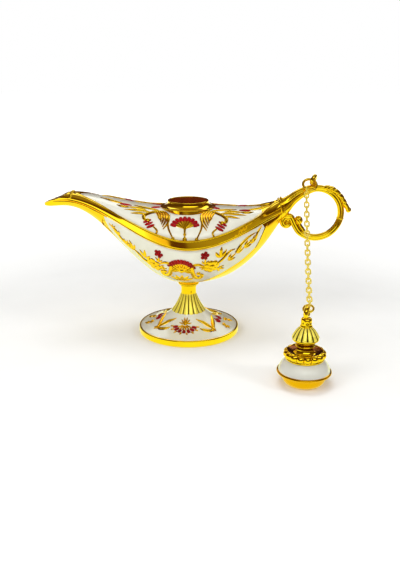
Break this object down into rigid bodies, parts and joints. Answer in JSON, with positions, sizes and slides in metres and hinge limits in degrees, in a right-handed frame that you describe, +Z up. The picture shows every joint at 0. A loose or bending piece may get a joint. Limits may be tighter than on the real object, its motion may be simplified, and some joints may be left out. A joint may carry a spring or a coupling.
{
  "type": "genie oil lamp",
  "caption": "Genie oil lamp with an enamelled boat-shaped bowl, long spout, scrolled loop handle and fluted foot; its domed lid stands beside it on a chain.",
  "frame": {"origin": "centre of the foot's flat underside, below the middle of the neck", "axes": "+Z up along the neck, spout towards -X, handle towards +X, lid standing in front towards -Y"},
  "size_m": [0.1605, 0.1076, 0.0854],
  "materials": {
    "gold": "polished gold plating",
    "white_enamel": "glossy pearly white enamel",
    "steel": "plain"
  },
  "bodies": {
    "lamp": {"foot": "gold", "foot_enamel": "white_enamel", "foot_screw": "steel", "lower_hull": "gold", "hull_enamel": "white_enamel", "upper_deck": "gold", "deck_enamel": "white_enamel", "girdle_band": "gold", "neck_collar": "gold", "handle": "gold", "tail_bolster": "gold", "chain_eye": "gold"},
    "handle_ring": {"handle_ring": "gold"},
    "chain_1": {"chain_link_01": "gold", "chain_link_02": "gold", "chain_link_03": "gold", "chain_link_04": "gold", "chain_link_05": "gold"},
    "chain_2": {"chain_link_06": "gold", "chain_link_07": "gold", "chain_link_08": "gold", "chain_link_09": "gold", "chain_link_10": "gold"},
    "chain_3": {"chain_link_11": "gold", "chain_link_12": "gold", "chain_link_13": "gold", "chain_link_14": "gold", "chain_link_15": "gold"},
    "chain_4": {"chain_link_16": "gold", "chain_link_17": "gold", "chain_link_18": "gold", "chain_link_19": "gold", "chain_link_20": "gold"},
    "chain_5": {"chain_link_21": "gold", "chain_link_22": "gold", "chain_link_23": "gold", "chain_link_24": "gold", "chain_link_25": "gold"},
    "lid_ring": {"lid_ring": "gold"},
    "lid": {"lid_finial": "gold", "lid_saucer": "gold", "lid_cap": "gold", "lid_enamel": "white_enamel", "lid_nut": "steel"}
  },
  "joints": [
    {"name": "handle_ring_swing", "type": "hinge", "parent": "lamp", "child": "handle_ring", "pos_m": [0.065, 0, 0.08281], "axis": [0.835, -0.3957, -0.3825], "range_deg": [-80, 5]},
    {"name": "chain_1_swing", "type": "hinge", "parent": "handle_ring", "child": "chain_1", "pos_m": [0.06096, -0.00441, 0.07855], "axis": [-0.835, 0.3957, 0.3825], "range_deg": [-45, 60]},
    {"name": "chain_2_swing", "type": "hinge", "parent": "chain_1", "child": "chain_2", "pos_m": [0.06, -0.01476, 0.06852], "axis": [-0.0121, -0.6792, 0.7339], "range_deg": [-40, 40]},
    {"name": "chain_3_swing", "type": "hinge", "parent": "chain_2", "child": "chain_3", "pos_m": [0.05896, -0.02608, 0.05881], "axis": [0.9974, -0.0604, -0.0393], "range_deg": [-50, 45]},
    {"name": "chain_4_swing", "type": "hinge", "parent": "chain_3", "child": "chain_4", "pos_m": [0.05785, -0.03809, 0.04997], "axis": [0.0016, 0.5661, -0.8243], "range_deg": [-45, 45]},
    {"name": "chain_5_swing", "type": "hinge", "parent": "chain_4", "child": "chain_5", "pos_m": [0.05667, -0.05081, 0.04223], "axis": [-0.9967, 0.0676, 0.0442], "range_deg": [-45, 45]},
    {"name": "lid_ring_swing", "type": "hinge", "parent": "chain_5", "child": "lid_ring", "pos_m": [0.05543, -0.06427, 0.03585], "axis": [0.0147, -0.39, 0.9207], "range_deg": [-40, 40]},
    {"name": "lid_swing", "type": "hinge", "parent": "lid_ring", "child": "lid", "pos_m": [0.05376, -0.06727, 0.0339], "axis": [-0.9119, 0.4104, 0], "range_deg": [-55, 75]}
  ]
}
